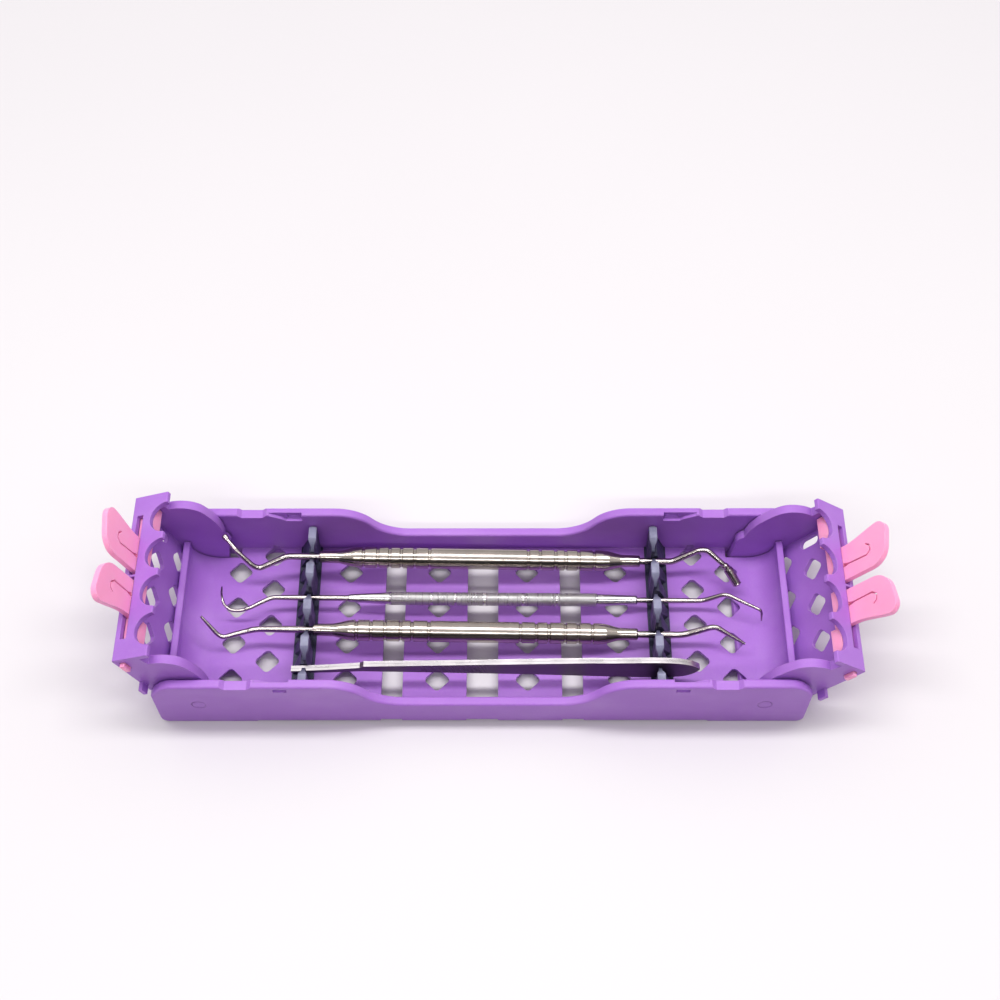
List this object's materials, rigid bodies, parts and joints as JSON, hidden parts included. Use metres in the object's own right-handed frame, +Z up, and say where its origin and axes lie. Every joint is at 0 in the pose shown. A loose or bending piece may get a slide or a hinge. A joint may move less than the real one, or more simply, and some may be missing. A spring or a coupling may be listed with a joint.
{
  "type": "dental instrument cassette",
  "caption": "Open plastic cassette with two hinged end lids, sprung latches and toothed silicone rails that hold hand instruments and tweezers.",
  "frame": {"origin": "middle of the footprint of the whole open cassette, on the surface that its four feet stand on, 5.5 mm to the right of the tray's own middle", "axes": "+X along the tray towards its right end, +Y towards the back wall, +Z up"},
  "size_m": [0.2472, 0.066, 0.0565],
  "materials": {
    "purple": "satin moulded plastic",
    "pink": "satin moulded plastic",
    "silicone": "smoky translucent silicone",
    "steel": "satin",
    "bright_steel": "fine polished"
  },
  "bodies": {
    "tray": {"tray": "purple", "rail_left": "silicone", "rail_right": "silicone"},
    "lid_left": {"lid_left": "purple"},
    "lid_right": {"lid_right": "purple"},
    "latch_left_back": {"latch_left_back": "pink"},
    "latch_left_front": {"latch_left_front": "pink"},
    "latch_right_back": {"latch_right_back": "pink"},
    "latch_right_front": {"latch_right_front": "pink"},
    "scaler_back": {"scaler_back_handle": "steel", "scaler_back_left_tip": "bright_steel", "scaler_back_right_tip": "bright_steel"},
    "explorer": {"explorer_handle": "steel", "explorer_left_tip": "bright_steel", "explorer_right_tip": "bright_steel"},
    "scaler_front": {"scaler_front_handle": "steel", "scaler_front_left_tip": "bright_steel", "scaler_front_right_tip": "bright_steel"},
    "tweezers": {"tweezers_back_leg": "steel", "tweezers_front_leg": "steel"}
  },
  "joints": [
    {"name": "lid_left_hinge", "type": "hinge", "parent": "tray", "child": "lid_left", "pos_m": [-0.096, 0, 0.0133], "axis": [0, -1, 0], "range_deg": [-110.4, 16.6]},
    {"name": "lid_right_hinge", "type": "hinge", "parent": "tray", "child": "lid_right", "pos_m": [0.085, 0, 0.0133], "axis": [0, 1, 0], "range_deg": [-127, 0]},
    {"name": "latch_left_back_slide", "type": "slide", "parent": "lid_left", "child": "latch_left_back", "axis": [0, -1, 0], "range_m": [0, 0.0011], "stiffness_N_per_m": 1500},
    {"name": "latch_left_front_slide", "type": "slide", "parent": "lid_left", "child": "latch_left_front", "axis": [0, 1, 0], "range_m": [0, 0.0011], "stiffness_N_per_m": 1500},
    {"name": "latch_right_back_slide", "type": "slide", "parent": "lid_right", "child": "latch_right_back", "axis": [0, -1, 0], "range_m": [0, 0.0011], "stiffness_N_per_m": 1500},
    {"name": "latch_right_front_slide", "type": "slide", "parent": "lid_right", "child": "latch_right_front", "axis": [0, 1, 0], "range_m": [0, 0.0011], "stiffness_N_per_m": 1500},
    {"name": "scaler_back_lift", "type": "slide", "parent": "tray", "child": "scaler_back", "axis": [0, 0, 1], "range_m": [0, 0.05]},
    {"name": "explorer_lift", "type": "slide", "parent": "tray", "child": "explorer", "axis": [0, 0, 1], "range_m": [0, 0.05]},
    {"name": "scaler_front_lift", "type": "slide", "parent": "tray", "child": "scaler_front", "axis": [0, 0, 1], "range_m": [0, 0.05]},
    {"name": "tweezers_lift", "type": "slide", "parent": "tray", "child": "tweezers", "axis": [0, 0, 1], "range_m": [0, 0.05]}
  ]
}
